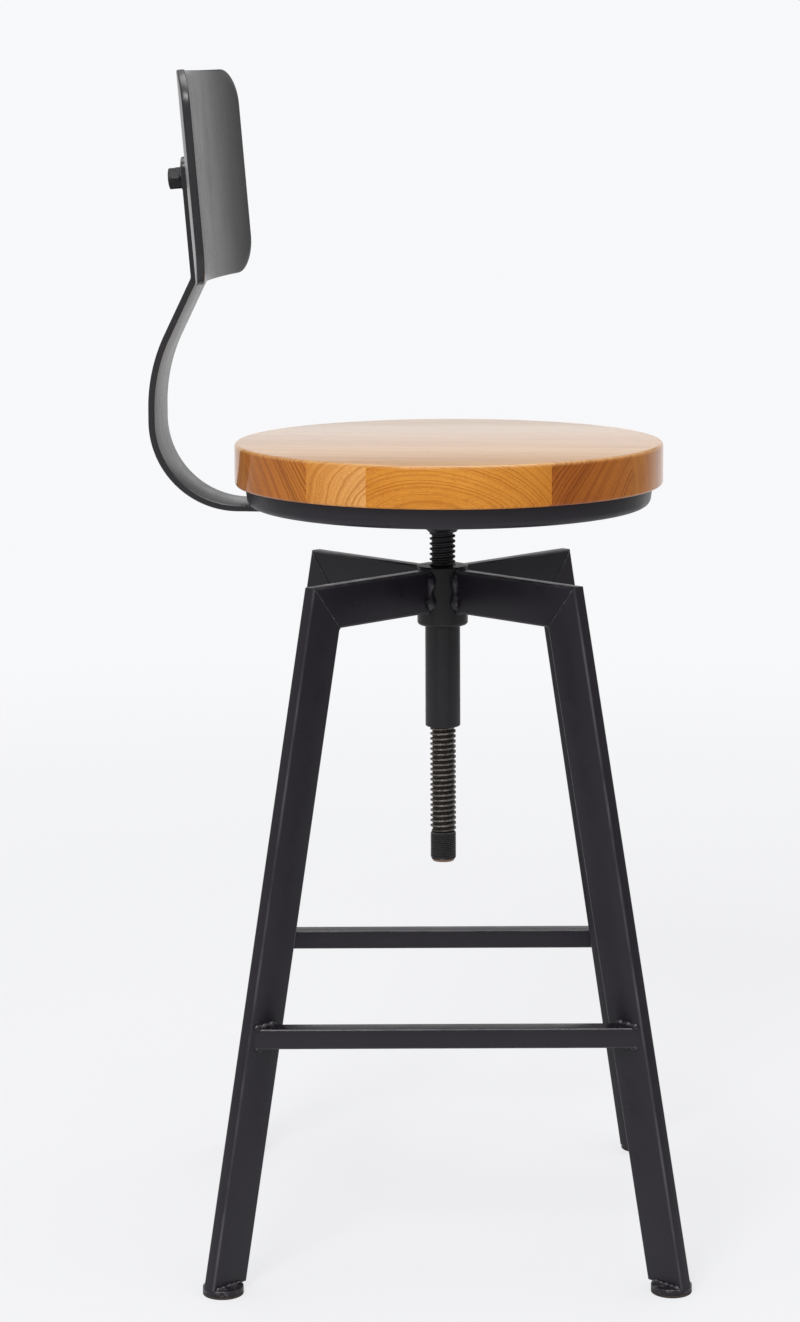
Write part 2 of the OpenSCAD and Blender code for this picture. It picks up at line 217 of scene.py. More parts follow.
def revolve(profile, steps=96):
    """Radius and height pairs turned about Z: r cos a, r sin a, z. A pair on the axis is a pole."""
    profile = np.array(profile, float)
    a = np.linspace(0, TAU, steps, endpoint=False)
    r, z = profile[:, 0][:, None], profile[:, 1][:, None]
    return np.stack([r * np.cos(a), r * np.sin(a), z + 0 * a], -1)


def arc(centre, r, start, end, steps):
    """Points of a circle between two angles in degrees: the centre plus r times the cosine and the sine."""
    a = np.radians(np.linspace(start, end, steps + 1))
    return np.stack([centre[0] + r * np.cos(a), centre[1] + r * np.sin(a)], -1)


def rounded_rect(w, h, r, steps=CORNER_STEPS):
    """The outline of a rectangle as pairs, counter-clockwise, with a quarter circle at each corner."""
    corners = [(1, 1, 0), (-1, 1, 90), (-1, -1, 180), (1, -1, 270)]
    return np.vstack([
        arc((sx * (w / 2 - r), sy * (h / 2 - r)), r, a, a + 90, steps) for sx, sy, a in corners
    ])


def sweep_between(start, end, rows):
    """A tube whose rings run straight from one end outline to the other: (1 - t) start + t end."""
    t = np.linspace(0, 1, rows)[:, None, None]
    return (1 - t) * start[None] + t * end[None]


# Materials

def put(tree, socket, value):
    """Joins a value that comes from a node to an input, or writes a plain value in."""
    if isinstance(value, bpy.types.NodeSocket):
        tree.links.new(value, socket)
    else:
        socket.default_value = value


def ranged(tree, value, low, high, to_low, to_high, smooth=False):
    """A value carried from one range to another and held at its ends, evenly or with smooth ends."""
    node = tree.nodes.new("ShaderNodeMapRange")
    node.interpolation_type = "SMOOTHSTEP" if smooth else "LINEAR"
    tree.links.new(value, node.inputs["Value"])
    for key, number in (("From Min", low), ("From Max", high), ("To Min", to_low), ("To Max", to_high)):
        node.inputs[key].default_value = number
    return node.outputs["Result"]


def mixed_shaders(tree, factor, a, b):
    """Two shaders blended: all a where the factor is 0 and all b where it is 1."""
    node = tree.nodes.new("ShaderNodeMixShader")
    for socket, value in zip(node.inputs, (factor, a, b)):
        put(tree, socket, value)
    return node.outputs[0]


class Nodes:
    """Short ways to add the nodes of one material and join them."""

    def __init__(self, name):
        self.material = bpy.data.materials.new(name)
        self.material.use_nodes = True
        self.tree = self.material.node_tree
        self.shader = self.tree.nodes["Principled BSDF"]
        self.where = self.tree.nodes.new("ShaderNodeTexCoord").outputs["Object"]

    def link(self, source, socket):
        """Joins an output to an input."""
        self.tree.links.new(source, socket)

    def math(self, operation, a, b=0.0):
        """One operation on two numbers."""
        node = self.tree.nodes.new("ShaderNodeMath")
        node.operation = operation
        put(self.tree, node.inputs[0], a)
        put(self.tree, node.inputs[1], b)
        return node.outputs[0]

    def vector_math(self, operation, *vectors):
        """One operation on one or two vectors."""
        node = self.tree.nodes.new("ShaderNodeVectorMath")
        node.operation = operation
        for socket, vector in zip(node.inputs, vectors):
            self.link(vector, socket)
        return node.outputs["Value" if operation == "LENGTH" else "Vector"]

    def vector(self, x=0.0, y=0.0, z=0.0):
        """A vector from three numbers."""
        node = self.tree.nodes.new("ShaderNodeCombineXYZ")
        for socket, value in zip(node.inputs, (x, y, z)):
            put(self.tree, socket, value)
        return node.outputs[0]

    def parts(self, vector):
        """The X, Y and Z of a vector."""
        node = self.tree.nodes.new("ShaderNodeSeparateXYZ")
        self.link(vector, node.inputs[0])
        return tuple(node.outputs)

    def scaled(self, scale, turn=(0, 0, 0), shift=(0, 0, 0), vector=None):
        """A vector stretched along each axis, turned and moved."""
        node = self.tree.nodes.new("ShaderNodeMapping")
        self.link(vector or self.where, node.inputs["Vector"])
        node.inputs["Scale"].default_value = scale
        node.inputs["Rotation"].default_value = turn
        node.inputs["Location"].default_value = shift
        return node.outputs[0]

    def noise(self, scale, detail=3.0, rough=0.55, vector=None):
        """Cloudy noise from 0 to 1."""
        node = self.tree.nodes.new("ShaderNodeTexNoise")
        self.link(vector or self.where, node.inputs["Vector"])
        node.inputs["Scale"].default_value = scale
        node.inputs["Detail"].default_value = detail
        node.inputs["Roughness"].default_value = rough
        return node.outputs["Fac"]

    def ramp(self, value, stops):
        """A colour read off between stops, each a place and a colour."""
        node = self.tree.nodes.new("ShaderNodeValToRGB")
        self.link(value, node.inputs[0])
        elements = node.color_ramp.elements
        while len(elements) < len(stops):
            elements.new(0.5)
        for element, (place, colour) in zip(elements, stops):
            element.position = place
            element.color = (*colour, 1.0)
        return node.outputs["Color"]

    def map(self, value, low, high, to_low, to_high):
        """A value carried evenly from one range to another and held at its ends."""
        return ranged(self.tree, value, low, high, to_low, to_high)

    def mix(self, factor, a, b):
        """Two colours blended; a plain colour is three numbers."""
        node = self.tree.nodes.new("ShaderNodeMix")
        node.data_type = "RGBA"
        put(self.tree, node.inputs["Factor"], factor)
        for place, colour in ((6, a), (7, b)):
            put(self.tree, node.inputs[place], (*colour, 1) if isinstance(colour, tuple) else colour)
        return node.outputs[2]

    def bump(self, height, strength, distance, normal=None):
        """The surface's direction, tilted by a height, on top of another tilt if there is one."""
        node = self.tree.nodes.new("ShaderNodeBump")
        node.inputs["Strength"].default_value = strength
        node.inputs["Distance"].default_value = distance
        self.link(height, node.inputs["Height"])
        if normal is not None:
            self.link(normal, node.inputs["Normal"])
        return node.outputs["Normal"]

    def finish(self, **sockets):
        """Fills the shader's main inputs and gives the material."""
        names = {"colour": "Base Color", "rough": "Roughness", "metal": "Metallic", "normal": "Normal",
                 "specular": "Specular IOR Level"}
        for key, value in sockets.items():
            put(self.tree, self.shader.inputs[names[key]], value)
        return self.material


# Tones, as linear red, green and blue
COAT = (0.0104, 0.0080, 0.0130)
COAT_ON_SCREW = (0.0105, 0.0098, 0.0125)
# Pale scraped paint on the welds, partly painted glints on their lumps
COAT_SCRAPED_AND_GLINT = (0.16, 0.155, 0.155)
# Paler paint on the tube corners: rubbed thin, and partly a painted highlight along them
COAT_RUBBED_AND_SHEEN = (0.075, 0.070, 0.080)
PORE_BROWN = (0.10, 0.035, 0.008)
PALE_WOOD = (0.86, 0.46, 0.16)
AMBER_WOOD = (0.72, 0.27, 0.035)
# The top's tones are paler than the rim's, partly painted glare on the top
TOP_TONE_WITH_GLARE = ((0.71, 0.400, 0.150), (0.61, 0.305, 0.095), (0.40, 0.155, 0.035))
GOLD = ((0.76, 0.320, 0.045), (0.64, 0.235, 0.020), (0.36, 0.095, 0.004))
RUSSET = ((0.52, 0.160, 0.018), (0.42, 0.108, 0.009), (0.17, 0.033, 0.002))
HONEY = ((0.68, 0.270, 0.045), (0.56, 0.190, 0.024), (0.28, 0.078, 0.007))


def satin_black(name, base=COAT, rough=(0.26, 0.36), peel=0.05, stretch=(1, 1, 1), scraped_and_glint=0.0, edges=False):
    """Satin powder coat: fine orange peel, slight cloudiness and a little dust.

    It may be scraped in patches, pale partly as wear and partly as painted glints on the weld lumps. It is
    thin and paler on edges where the mesh says that it is rubbed, partly a painted highlight along the
    corners.
    """
    n = Nodes(name)
    where = n.scaled(stretch)
    cloud = n.noise(14, 3, vector=where)
    fine = n.noise(900, 2)
    dust = n.noise(160, 4, 0.7, vector=where)
    pale = tuple(c * 1.9 + 0.004 for c in base)
    colour = n.ramp(cloud, [(0.3, base), (0.8, tuple(c * 1.3 for c in base))])
    colour = n.mix(n.map(dust, 0.62, 0.78, 0.0, 0.5), colour, pale)
    # Pale scraped patches: worn paint, and partly painted glints
    if scraped_and_glint:
        colour = n.mix(n.map(n.noise(230, 3, 0.6), 0.52, 0.70, 0.0, scraped_and_glint), colour, COAT_SCRAPED_AND_GLINT)
    # Paler corners: paint rubbed thin, and partly a painted highlight along each corner
    if edges:
        attribute = n.tree.nodes.new("ShaderNodeAttribute")
        attribute.attribute_name = "rubbed_and_sheen"
        patchy = n.map(n.noise(1.0, 3, 0.6, vector=n.scaled((60, 60, 14))), 0.35, 0.65, 0.25, 1.0)
        colour = n.mix(n.math("MULTIPLY", attribute.outputs["Fac"], patchy), colour, COAT_RUBBED_AND_SHEEN)
    roughness = n.map(n.noise(55, 4, 0.6, vector=where), 0.3, 0.7, *rough)
    normal = n.bump(fine, peel, 0.0004)
    normal = n.bump(cloud, 0.05, 0.002, normal)
    return n.finish(colour=colour, rough=roughness, normal=normal)


def screw_steel():
    """Black coat on the screw's upper end, oiled brown-grey steel below the hub, and a dark fine thread.

    The places are heights on the screw and distances from its axis, the root of squared X plus squared Y.
    """
    n = Nodes("screw_steel")
    x, y, z = n.parts(n.where)
    grit = n.noise(330, 4, 0.65)
    height = n.math("ADD", z, n.map(n.noise(45, 3), 0.3, 0.7, -6 * MM, 6 * MM))
    bare = n.map(height, (HUB_TOP - 10) * MM, (HUB_TOP + 2) * MM, 1.0, 0.0)
    coarse = n.map(z, (THREAD_START - 0.8) * MM, (THREAD_START + 0.6) * MM, 0.0, 1.0)
    end = n.map(z, (SCREW_BOTTOM + 1.2) * MM, (SCREW_BOTTOM + 2.0) * MM, 1.0, 0.0)
    radius = n.math("SQRT", n.math("ADD", n.math("POWER", x, 2.0), n.math("POWER", y, 2.0)))
    # Lighter on the crests, darker towards the roots: partly wear, partly painted highlight on the crests and
    # painted shade in the roots
    crest = n.map(radius, (SCREW_ROOT + 0.2) * MM, (SCREW_R - 0.2) * MM, 0.0, 1.0)
    steel = n.mix(crest, (0.020, 0.018, 0.016), (0.26, 0.235, 0.215))
    steel = n.mix(n.map(grit, 0.42, 0.66, 0.0, 0.8), steel, (0.050, 0.042, 0.034))
    steel = n.mix(coarse, (0.030, 0.028, 0.030), steel)
    steel = n.mix(end, steel, (0.30, 0.17, 0.11))
    colour = n.mix(bare, COAT_ON_SCREW, steel)
    metal = n.math("MULTIPLY", bare, n.map(coarse, 0.0, 1.0, 0.3, 0.7))
    rough = n.map(grit, 0.3, 0.7, 0.32, 0.55)
    return n.finish(colour=colour, metal=metal, rough=rough, normal=n.bump(grit, 0.25, 0.0003))


def plain_steel(name, colour, rough):
    """Plated or oiled steel with fine grit."""
    n = Nodes(name)
    grit = n.noise(420, 3, 0.6)
    tone = n.mix(n.map(grit, 0.35, 0.7, 0.0, 0.7), colour, tuple(c * 0.55 for c in colour))
    return n.finish(colour=tone, metal=0.85, rough=n.map(grit, 0.3, 0.7, rough, rough + 0.15),
                    normal=n.bump(grit, 0.15, 0.0002))


def pad_rubber():
    """Brown-black rubber, matt, with worn and dusty patches."""
    n = Nodes("pad_rubber")
    grit = n.noise(300, 4, 0.65)
    colour = n.ramp(grit, [(0.35, (0.018, 0.012, 0.010)), (0.7, (0.060, 0.043, 0.035))])
    return n.finish(colour=colour, rough=n.map(grit, 0.3, 0.7, 0.65, 0.85), normal=n.bump(grit, 0.3, 0.0004))


def growth_rings(n, seat, centre, number, spacing, shift):
    """The growth rings of one stave: the place within a ring and how much of it is dark late wood.

    The count of rings is the distance from the pith line over the spacing. Noise sways it along the stave and
    makes the rings uneven. Its fraction is the place within a ring; the late wood rises slowly there and ends
    suddenly.
    """
    sway = n.noise(1.0, 2, 0.5, vector=n.scaled((2.5, 14, 14), shift=(shift, shift, shift), vector=seat))
    wobble = n.noise(1.0, 2, 0.5, vector=n.scaled((6, 120, 120), shift=(shift, 0, shift), vector=seat))
    distance = n.math("ADD", n.vector_math("LENGTH", centre), n.map(sway, 0.3, 0.7, -2.5 * MM, 2.5 * MM))
    distance = n.math("ADD", distance, n.map(wobble, 0.3, 0.7, -0.25 * MM, 0.25 * MM))
    count = n.math("MULTIPLY", distance, 1 / (spacing * MM))
    index = n.vector(x=count, y=7.3 * number)
    count = n.math("ADD", count, n.map(n.noise(0.45, 2, 0.6, vector=index), 0.3, 0.7, -0.9, 0.9))
    ring = n.math("FRACT", count)
    late = n.ramp(ring, [(place, (amount,) * 3) for place, amount in (
        (0.0, 0.25), (0.08, 0.0), (0.45, 0.12), (0.80, 0.75), (0.92, 1.0), (1.0, 0.35))])
    depth = n.map(n.noise(0.8, 1, 0.5, vector=index), 0.35, 0.65, 0.15, 0.85)
    return ring, n.math("MULTIPLY", late, depth)


def stave_wood(number, pith, spacing, side_tone, shift, end_joint=None, amber_ends=False):
    """Lacquered softwood with the growth rings of one stave, which are cylinders about its pith line.

    pith is where that line, which runs from back to front, crosses the seat's width and height in
    millimetres. The top's tones are paler than the rim's, partly painted glare on the top. The rim has its
    own tones, darker towards the seat's back and front: partly end grain, which takes more of the lacquer,
    and partly painted shade where the rim turns from the light. A stave may be made of two lengths: behind
    end_joint, a place along it in millimetres, the rings have another pith and the wood is paler. amber_ends
    makes the rim lighter again near the back and the front.
    """
    n = Nodes("stave_wood_%d" % number)
    seat = n.scaled((1, 1, 1), turn=(0, 0, -SEAT_TURN))
    along = n.parts(seat)[0]
    object_x, _, height = n.parts(n.where)
    on_rim = n.map(height, (SEAT_TOP - 3.0) * MM, (SEAT_TOP - 0.4) * MM, 1.0, 0.0)
    centre = n.scaled((0.0, 1.0, 1.0), shift=(0, -pith[0] * MM, -pith[1] * MM), vector=seat)
    if end_joint is not None:
        behind = n.math("LESS_THAN", along, end_joint * MM)
        moved = n.vector(y=n.math("MULTIPLY", behind, 18 * MM), z=n.math("MULTIPLY", behind, -16 * MM))
        centre = n.vector_math("ADD", centre, moved)
    ring, late = growth_rings(n, seat, centre, number, spacing, shift)
    fibre = n.noise(1.0, 4, 0.65, vector=n.scaled((45, 1400, 1400), vector=seat))
    pores = n.noise(1.0, 2, 0.7, vector=n.scaled((330, 1300, 1300), vector=seat))
    broad = n.noise(1.0, 3, 0.55, vector=n.scaled((5, 30, 30), shift=(2 * shift, 0, 0), vector=seat))
    # Top tones against rim tones: the paler top is partly painted glare
    light, middle, dark = (n.mix(on_rim, top, side) for top, side in zip(TOP_TONE_WITH_GLARE, side_tone))
    colour = n.mix(n.map(broad, 0.3, 0.7, 0.0, 1.0), light, middle)
    # The rim darkens towards both ends: partly end grain, partly painted shade where it turns from the light
    reach = n.math("ABSOLUTE", n.math("ADD", object_x, 10 * MM))
    colour = n.mix(n.math("MULTIPLY", n.map(reach, 20 * MM, 105 * MM, 0.0, 0.40), on_rim), colour, dark)
    if end_joint is not None:
        paler = n.math("MULTIPLY", behind, n.map(along, -95 * MM, -45 * MM, 0.0, 0.62))
        colour = n.mix(n.math("MULTIPLY", paler, on_rim), colour, PALE_WOOD)
    if amber_ends:
        back = n.map(along, -60 * MM, -125 * MM, 0.60, 0.30)
        back = n.math("MULTIPLY", n.math("LESS_THAN", along, 0.0), back)
        ends = n.math("ADD", back, n.map(along, 110 * MM, 150 * MM, 0.0, 0.35))
        colour = n.mix(n.math("MULTIPLY", ends, on_rim), colour, AMBER_WOOD)
    colour = n.mix(late, colour, dark)
    colour = n.mix(n.map(fibre, 0.45, 0.8, 0.0, 0.45), colour, dark)
    colour = n.mix(n.map(fibre, 0.42, 0.25, 0.0, 0.40), colour, light)
    colour = n.mix(n.map(pores, 0.60, 0.72, 0.0, 0.5), colour, PORE_BROWN)
    normal = n.bump(fibre, 0.08, 0.0003)
    normal = n.bump(ring, 0.03, 0.0005, normal)
    for key, value in (("Coat Weight", 0.95), ("Coat Roughness", 0.09), ("Coat IOR", 1.33)):
        n.shader.inputs[key].default_value = value
    n.link(n.bump(n.noise(60, 2), 0.03, 0.001), n.shader.inputs["Coat Normal"])
    return n.finish(colour=colour, rough=n.map(fibre, 0.3, 0.7, 0.42, 0.55), normal=normal, specular=0.1)


black = satin_black("black_coat")
# Its corners are painted paler, partly as a painted highlight
black_tube = satin_black("black_tube", edges=True)
black_pan = satin_black("black_pan", rough=(0.34, 0.44))
black_plate = satin_black("black_plate", base=(0.020, 0.019, 0.022), rough=(0.22, 0.32), stretch=(1, 1, 0.25))
# Its pale scraped patches are partly painted glints on the welds
black_weld = satin_black("black_weld", rough=(0.22, 0.40), peel=0.3, scraped_and_glint=0.45)
# A darker copy of the coat: painted shade for the hub and the sleeve under the seat
black_hub_painted_shade = satin_black("black_hub_painted_shade", base=(0.0060, 0.0056, 0.0075), rough=(0.30, 0.40))
screw_finish = screw_steel()
plated = plain_steel("plated_steel", (0.30, 0.29, 0.27), 0.35)
dark_plated = plain_steel("dark_steel", (0.040, 0.038, 0.040), 0.38)
rubber = pad_rubber()


# Base frame

def leg_point(across, side, along):
    """A point of a leg, counted from the elbow's corner.

    Across its wide side it goes out by the lean's cosine and up by its sine; along the leg it goes in by the
    sine and up by the cosine.
    """
    x = ELBOW + across * math.cos(LEAN) - along * math.sin(LEAN)
    z = ARM_TOP + across * math.sin(LEAN) + along * math.cos(LEAN)
    return np.stack([x, side + 0 * x, z], -1)


def leg(corner):
    """A rounded rectangle carried down the leg's line, cut at the mitre above and level at the foot.

    The mitre's cut is at the distance across over the tangent of the lean plus the mitre.
    """
    section = rounded_rect(TUBE_W, TUBE_T, TUBE_R)
    across, side = section[:, 0] - TUBE_W / 2, section[:, 1]
    top = across / math.tan(LEAN + MITRE)
    bottom = (LEG_BOTTOM - ARM_TOP - across * math.sin(LEAN)) / math.cos(LEAN)
    rings = sweep_between(leg_point(across, side, bottom), leg_point(across, side, top), LEG_ROWS)
    return capped(turned(rings, corner))


def arm(corner):
    """A rounded rectangle carried straight out from the hub's side to the mitre.

    It starts on the hub's circle, at the root of its squared radius less the squared side. It ends at the
    elbow less the tangent of the mitre times the depth below the top.
    """
    section = rounded_rect(TUBE_T, TUBE_W, TUBE_R)
    side, up = section[:, 0], section[:, 1] + ARM_TOP - TUBE_W / 2
    start = np.stack([np.sqrt(HUB_R ** 2 - side ** 2) - 0.2, side, up], -1)
    end = np.stack([ELBOW + math.tan(MITRE) * (up - ARM_TOP), side, up], -1)
    return capped(turned(sweep_between(start, end, ARM_ROWS), corner))


def footrest_bar(side_angle):
    """A rounded square carried between two legs, each end cut along the leg's wide face.

    That face is at 45 degrees, so a point's reach is its distance out less half the tube's thickness over the
    sine of 45 degrees.
    """
    section = rounded_rect(BAR_W, BAR_W, BAR_R)
    y, z = section[:, 0] - BAR_CENTRE, section[:, 1] + BAR_MID
    reach = np.abs(y) - TUBE_T / math.sqrt(2)
    rings = sweep_between(np.stack([-reach, y, z], -1), np.stack([reach, y, z], -1), BAR_ROWS)
    return capped(turned(rings, side_angle))


def foot_disc(low, high, edge):
    """A round plate under a leg: a profile with softened rims turned about Z and moved out to the foot."""
    profile = np.vstack([[[0, low]], arc((FOOT_R - edge, low + edge), edge, -90, 0, 4),
                         arc((FOOT_R - edge, high - edge), edge, 0, 90, 4), [[0, high]]])
    return revolve(profile, 64) + np.array([FOOT_CENTRE, 0, 0])


def rubbed_and_sheen_corners(rows):
    """How far each point of a swept rounded rectangle is rubbed and carries a painted highlight.

    It is the squared sine of half a turn times its share of the corner's arc: 1 in the middle, 0 at the ends.
    """
    one_corner = np.sin(np.pi * np.arange(CORNER_STEPS + 1) / CORNER_STEPS) ** 2
    return np.tile(one_corner, 4 * rows)


for corner, angle in CORNERS.items():
    for name, make, rows in (("leg", leg, LEG_ROWS), ("arm", arm, ARM_ROWS)):
        piece("%s_%s_tube" % (name, corner), [make(angle)], black_tube, "frame", ["%s_%s" % (name, corner)],
              rubbed_and_sheen=rubbed_and_sheen_corners(rows))
    for name, low, high, edge, material, slot in (
            ("foot_plate", PAD_T, LEG_BOTTOM, 0.6, black_weld, "black_coat"),
            ("foot_pad", 0, PAD_T, 0.5, rubber, "rubber")):
        disc = grid(turned(foot_disc(low, high, edge), angle), wrap_columns=True)
        piece("%s_%s_disc" % (name, corner), [disc], material, "frame", ["%s_%s" % (name, corner)])
for side, angle in SIDES.items():
    piece("footrest_bar_%s_tube" % side, [footrest_bar(angle)], black_tube, "frame", ["footrest_bar_" + side],
          rubbed_and_sheen=rubbed_and_sheen_corners(BAR_ROWS))


def ring_sheet(profile, steps=96):
    """A closed outline of radius and height pairs turned about Z, closed on itself both ways."""
    return grid(revolve(profile, steps), wrap_rows=True, wrap_columns=True)


hub_profile = np.vstack([
    [[SLEEVE_R + 0.05, HUB_BOTTOM]],
    arc((HUB_R - 2.5, HUB_BOTTOM + 2.5), 2.5, -90, 0, 8),
    arc((HUB_R - 0.8, HUB_TOP - 0.8), 0.8, 0, 90, 4),
    [[SLEEVE_R + 0.05, HUB_TOP]],
])
piece("hub_collar_ring", [ring_sheet(hub_profile)], black_hub_painted_shade, "frame", ["hub_collar"])
sleeve_profile = np.vstack([
    arc((SLEEVE_R - 0.8, SLEEVE_BOTTOM + 0.8), 0.8, -90, 0, 4),
    [[SLEEVE_R, HUB_TOP - 0.4], [SLEEVE_R - 0.4, HUB_TOP], [BORE_R + 0.8, HUB_TOP], [BORE_R, HUB_TOP - 0.8],
     [BORE_R, SLEEVE_BOTTOM + 0.8], [BORE_R + 0.8, SLEEVE_BOTTOM]],
])
piece("nut_sleeve_tube", [ring_sheet(sleeve_profile)], black_hub_painted_shade, "frame", ["nut_sleeve"])


# Welds

def bead(path, radius, blobs, swell, seed):
    """A weld bead: a round section carried along a path, its radius swelling once for every puddle of metal.

    The radius is multiplied by 1, plus the swell times the size of sin(pi times the puddles passed), less
    half the swell, plus a little chance. Towards both ends it shrinks as a quarter circle does.
    """
    length = np.r_[0, np.cumsum(np.linalg.norm(np.diff(path, axis=0), axis=1))]
    count = max(int(blobs * 6), 12)
    at = np.linspace(0, length[-1], count)
    line = np.stack([np.interp(at, length, path[:, k]) for k in range(3)], -1)
    ahead = np.gradient(line, axis=0)
    ahead /= np.linalg.norm(ahead, axis=1)[:, None]
    up = np.where(np.abs(ahead[:, 2:3]) < 0.8, [[0.0, 0.0, 1.0]], [[1.0, 0.0, 0.0]])
    first = np.cross(ahead, up)
    first /= np.linalg.norm(first, axis=1)[:, None]
    second = np.cross(ahead, first)
    phase = at / length[-1] * blobs
    chance = np.random.default_rng(abs(seed)).uniform(-0.08, 0.08, count)
    r = radius * (1 + swell * np.abs(np.sin(math.pi * phase)) - swell / 2 + chance)
    taper = np.clip(np.minimum(at, length[-1] - at) / (1.2 * radius), 0, 1)
    r = r * np.sqrt(1 - (1 - taper) ** 2 + 1e-4)
    a = np.linspace(0, TAU, BEAD_STEPS, endpoint=False)
    ring = np.cos(a)[None, :, None] * first[:, None] + np.sin(a)[None, :, None] * second[:, None]
    return capped(line[:, None] + r[:, None, None] * ring)


def laid(degrees, x, y, z, radius, blobs, swell, seed):
    """A bead along points x, y, z, any of which may be one number for all, turned about Z to its place."""
    path = np.stack(np.broadcast_arrays(x, y, z), -1).astype(float)
    v, f = bead(path, radius, blobs, swell, seed)
    return turned(v, degrees), f


BEAD_STEPS = 10
TOUCH = math.sqrt(HUB_R ** 2 - (TUBE_T / 2) ** 2)
ARM_BOTTOM = ARM_TOP - TUBE_W
ELBOW_INNER = ELBOW - math.tan(MITRE) * TUBE_W
FOOT_BEAD_REACH = 13
hub_beads, elbow_beads, bar_beads, foot_beads = [], [], [], []
for k, angle in enumerate(CORNERS.values()):
    across = np.linspace(-TUBE_T / 2, TUBE_T / 2, 6)
    for side in (-1, 1):
        down = ARM_TOP - 1 - np.linspace(0, 1, 8) * (TUBE_W - 2)
        hub_beads.append(laid(angle, TOUCH + 0.5, side * (TUBE_T / 2 + 0.3), down, 3.0, 2.0, 1.0,
                              10 * k + side))
    hub_beads.append(laid(angle, TOUCH + 0.6, across, ARM_TOP, 1.5, 3, 0.25, 40 + k))
    hub_beads.append(laid(angle, TOUCH + 0.6, across, ARM_BOTTOM, 1.6, 3, 0.25, 50 + k))
    for side in (-1, 1):
        t = np.linspace(0, 1, 12)
        x = ELBOW - 1.5 + t * (ELBOW_INNER - ELBOW + 2)
        z = ARM_TOP - 1.5 + t * (ARM_BOTTOM - ARM_TOP + 2)
        elbow_beads.append(laid(angle, x, side * (TUBE_T / 2 - 0.55), z, 0.95, 16, 0.12, 60 + k))
    across = np.linspace(-TUBE_T / 2 + 0.6, TUBE_T / 2 - 0.6, 6)
    elbow_beads.append(laid(angle, ELBOW_INNER + 0.2, across, ARM_BOTTOM + 0.2, 1.6, 4, 0.2, 70 + k))
    for side in (-1, 1):
        x = FOOT_CENTRE + np.linspace(-FOOT_BEAD_REACH, FOOT_BEAD_REACH, 12)
        foot_beads.append(laid(angle, x, side * (TUBE_T / 2 + 0.4), LEG_BOTTOM + 0.4, 1.7, 5, 0.45,
                               80 + 2 * k + side))

BAR_NEAR, BAR_BEYOND, BAR_TOP = BAR_CENTRE - BAR_W / 2, BAR_CENTRE + BAR_W / 2, BAR_Z + BAR_W
# The beads round a footrest tube's end: seed, radius, and where each starts and stops, outwards and upwards
BAR_BEADS = ((1, 2.3, (BAR_BEYOND + 0.8, BAR_TOP + 0.6), (BAR_NEAR, BAR_TOP + 0.6)),
             (2, 1.9, (BAR_BEYOND, BAR_Z - 0.4), (BAR_NEAR, BAR_Z - 0.4)),
             (3, 1.5, (BAR_NEAR - 0.3, BAR_TOP), (BAR_NEAR - 0.3, BAR_Z)))
for k, angle in enumerate(SIDES.values()):
    for end in (-1, 1):
        for seed, radius, start, stop in BAR_BEADS:
            t = np.linspace(0, 1, 8)
            out = (1 - t) * start[0] + t * stop[0]
            up = (1 - t) * start[1] + t * stop[1]
            x = end * (out - TUBE_T / math.sqrt(2))
            bar_beads.append(laid(angle, x, -out, up, radius, 3, 0.7, 90 + 6 * k + end + 2 * seed))
for name, beads in (("hub_weld_beads", hub_beads), ("elbow_weld_seams", elbow_beads),
                    ("footrest_weld_beads", bar_beads), ("foot_weld_beads", foot_beads)):
    piece(name, beads, black_weld, "frame", sharp=60)


# Screw

def thread(low, high, pitch, outline, root):
    """A helical thread: the radius is a fixed outline of one pitch, which climbs one pitch for each turn.

    outline is pairs of share of the pitch and radius. The thread fades to its root at both ends.
    """
    share, radius = np.array(outline, float).T
    turns = (high - low) / pitch + 1
    step = np.arange(int(turns * FINE) + 1)[:, None]
    angle = step * TAU / FINE
    z = low + pitch * (step / FINE - 1 + share[None, :])
    fade = np.clip(np.minimum(z - low, high - z) / (0.6 * pitch), 0, 1)
    r = root + (radius[None, :] - root) * fade
    z = np.clip(z, low, high)
    return grid(np.stack([r * np.cos(angle), r * np.sin(angle), z], -1))


def end_disc(r, z):
    """A flat disc that closes a thread's end, one corner for each step of the thread's turn."""
    a = np.arange(FINE) * TAU / FINE
    return np.stack([r * np.cos(a), r * np.sin(a), np.full(FINE, z)], -1), [list(range(FINE))]


def chamfered_thread(low, high, chamfer, pitch, outline, tip_r):
    """A fine thread from low to high, with a cone down or up from its root to the smaller disc at the tip.

    The tip is at the low end where the chamfer is below zero and at the high end where it is above.
    """
    root = outline[0][1]
    if chamfer < 0:
        tip, base, start, stop = low, high, low - chamfer, high
    else:
        tip, base, start, stop = high, low, low, high - chamfer
    cone = sorted([(tip, tip_r), (tip - chamfer, root)])
    return shell(thread(start, stop, pitch, outline, root),
                 grid(revolve([(r, z) for z, r in cone], FINE), wrap_columns=True),
                 end_disc(tip_r, tip), end_disc(root, base))


